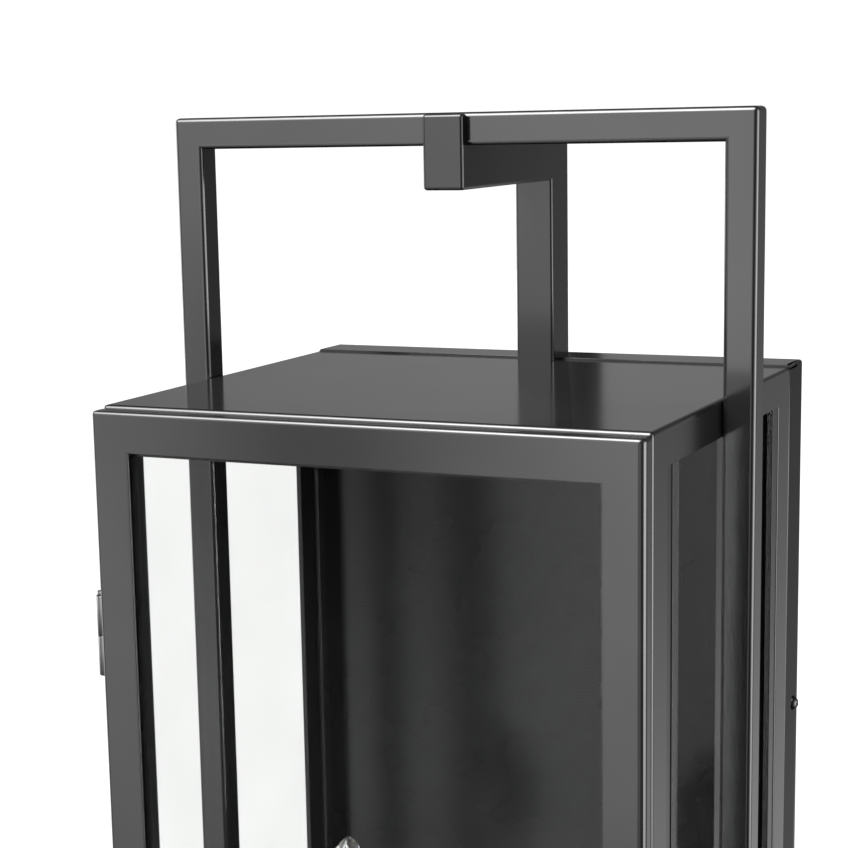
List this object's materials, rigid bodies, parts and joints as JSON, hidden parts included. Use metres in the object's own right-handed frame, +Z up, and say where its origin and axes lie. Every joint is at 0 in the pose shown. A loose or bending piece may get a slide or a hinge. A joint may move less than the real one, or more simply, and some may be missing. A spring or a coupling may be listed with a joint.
{
  "type": "outdoor wall lantern",
  "caption": "Tall glazed box wall lantern with a hinged front door, two candle lamps, a square-tube strap over the top and a hook arm from the backplate.",
  "frame": {"origin": "wall plane, at the centre of the wall plate's two screw slots", "axes": "+Z up, +Y into the wall, so the door faces -Y; X across, +X at the viewer's right when facing the door"},
  "size_m": [0.2454, 0.2216, 0.5092],
  "materials": {
    "black_coat": "satin black powder coat with a very fine texture",
    "zinc_plate": "bright zinc plating",
    "green_screw": "green earth screw",
    "foam_rubber": "matte black",
    "black_plastic": "moulded, matte",
    "magnet_steel": "ground ferrite and steel poles",
    "clear_glass": "clear flat pane",
    "bulb_glass": "clear blown glass",
    "phenolic": "moulded phenolic",
    "brass_cap": "rolled screw shell",
    "filament": "coated filament strips on a glass stem",
    "wire_jacket": "insulated leads and wire nuts"
  },
  "bodies": {
    "housing": {"mounting_plate": "zinc_plate", "ground_screw": "green_screw", "backplate": "black_coat", "pan_gasket": "foam_rubber", "side_screws": "black_coat", "rear_panel": "black_coat", "inner_back_panel": "black_coat", "back_panel_screws": "zinc_plate", "left_side_frame": "black_coat", "right_side_frame": "black_coat", "top_plate": "black_coat", "bottom_plate": "black_coat", "left_glass": "clear_glass", "right_glass": "clear_glass", "left_glass_channels": "black_coat", "right_glass_channels": "black_coat", "strap": "black_coat", "strap_end_caps": "black_plastic", "strap_screws": "zinc_plate", "hook_post": "black_coat", "hook_arm": "black_coat", "magnet_catch": "black_plastic", "magnet": "magnet_steel", "upper_hinge_body_leaf": "black_coat", "upper_hinge_pin": "black_coat", "lower_hinge_body_leaf": "black_coat", "lower_hinge_pin": "black_coat", "hinge_body_rivets": "zinc_plate", "socket_bracket": "black_coat", "bracket_screws": "zinc_plate", "candle_cups": "black_coat", "socket_stems": "zinc_plate", "stem_nuts": "zinc_plate", "left_candle_sleeve": "black_coat", "right_candle_sleeve": "black_coat", "left_socket": "phenolic", "right_socket": "phenolic", "left_bulb_glass": "bulb_glass", "right_bulb_glass": "bulb_glass", "bulb_bases": "brass_cap", "bulb_filaments": "filament", "wire_grommet": "foam_rubber", "lead_wires": "wire_jacket", "wire_nuts": "wire_jacket"},
    "door": {"door_frame": "black_coat", "door_glass": "clear_glass", "door_back_frame": "black_coat", "door_frame_screws": "zinc_plate", "door_knob": "black_coat", "strike_plate": "zinc_plate", "upper_hinge_door_leaf": "black_coat", "lower_hinge_door_leaf": "black_coat", "hinge_door_rivets": "zinc_plate"}
  },
  "joints": [
    {"name": "door_hinge", "type": "hinge", "parent": "housing", "child": "door", "pos_m": [-0.11315, -0.202, -0.052], "axis": [0, 0, -1], "range_deg": [0, 175]}
  ]
}
